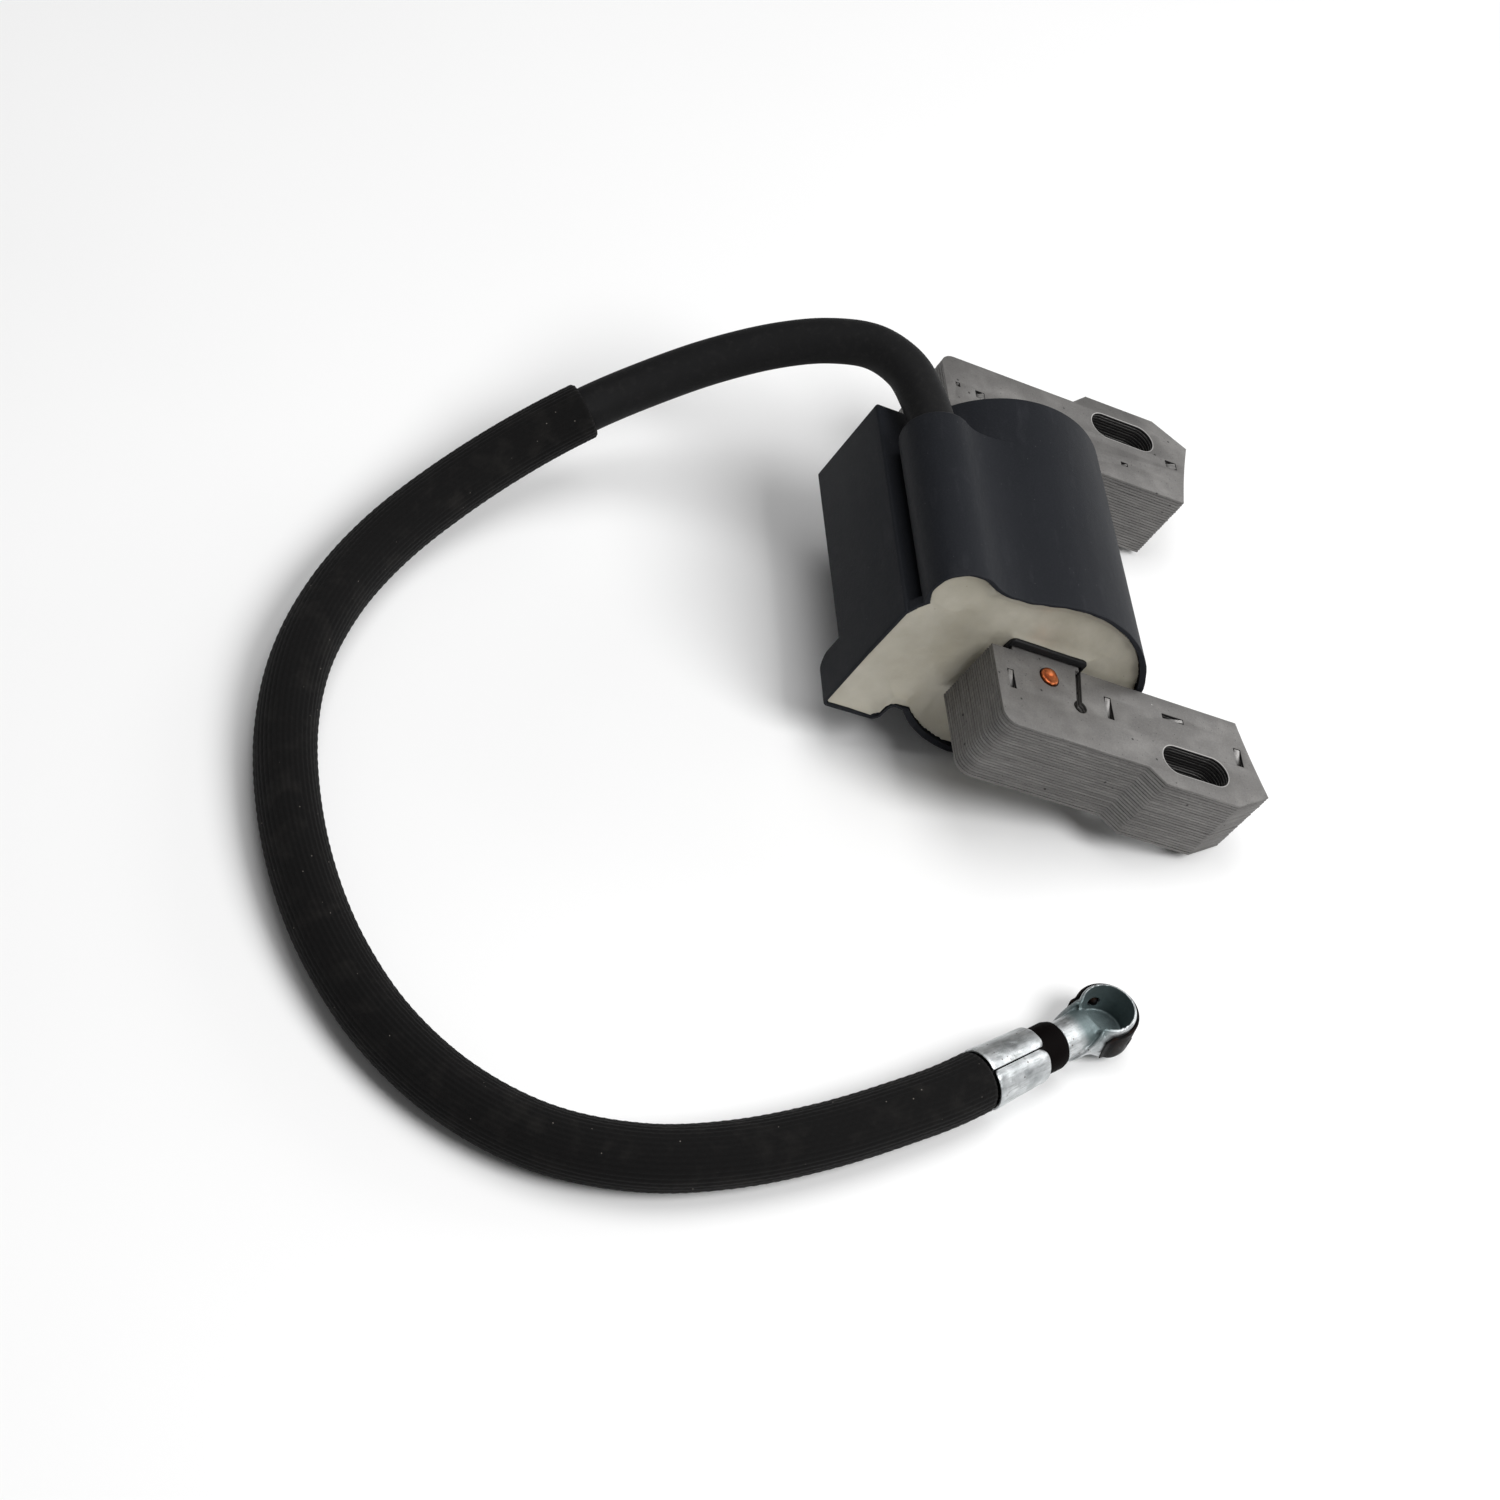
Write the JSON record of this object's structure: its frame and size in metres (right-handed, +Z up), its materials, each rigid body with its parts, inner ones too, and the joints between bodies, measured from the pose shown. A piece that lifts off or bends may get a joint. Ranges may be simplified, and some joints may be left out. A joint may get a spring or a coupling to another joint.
{
  "type": "electronic_flywheel_ignition_coil_with_lead",
  "caption": "Small-engine ignition coil: a U-shaped laminated core with slotted legs, a dark potted housing and a sleeved spark-plug lead with a crimped metal terminal.",
  "frame": {"origin": "Middle of the coil's footprint on the surface that it lies on, the lead left out.", "axes": "X runs from the legs' backs towards their pole faces, +Y from the open end's leg to the leg under the lead tower, Z up. The stack's normal leans from +Z towards +X by the rest tilt of 17.8 degrees."},
  "size_m": [0.1462, 0.1394, 0.0397],
  "materials": {
    "sheet_steel": "satin varnished laminations",
    "copper": "bright",
    "housing_plastic": "matte moulded",
    "resin": "cast, half gloss",
    "bobbin_plastic": "moulded",
    "enamel_wire": "enamelled wire",
    "board_laminate": "solder-mask green",
    "component_case": "moulded",
    "component_ceramic": "lacquered",
    "brass": "bright",
    "rubber": "matte",
    "braid": "woven sleeve",
    "zinc_plate": "bright zinc plate",
    "dark_spring": "oiled spring steel with rust"
  },
  "bodies": {
    "root": {"core_laminations": "sheet_steel", "ground_pin": "copper", "housing": "housing_plastic", "potting_compound": "resin", "primary_bobbin": "bobbin_plastic", "primary_winding": "enamel_wire", "secondary_bobbin": "bobbin_plastic", "secondary_winding_1": "enamel_wire", "secondary_winding_2": "enamel_wire", "secondary_winding_3": "enamel_wire", "secondary_winding_4": "enamel_wire", "secondary_winding_5": "enamel_wire", "secondary_winding_6": "enamel_wire", "circuit_board": "board_laminate", "power_transistor": "component_case", "trigger_coil": "enamel_wire", "resistor": "component_ceramic", "diode": "component_case", "ht_contact": "brass", "lead_conductor": "copper", "lead_insulation": "rubber", "lead_sleeve": "braid", "plug_terminal": "zinc_plate", "terminal_spring": "dark_spring"}
  },
  "joints": []
}
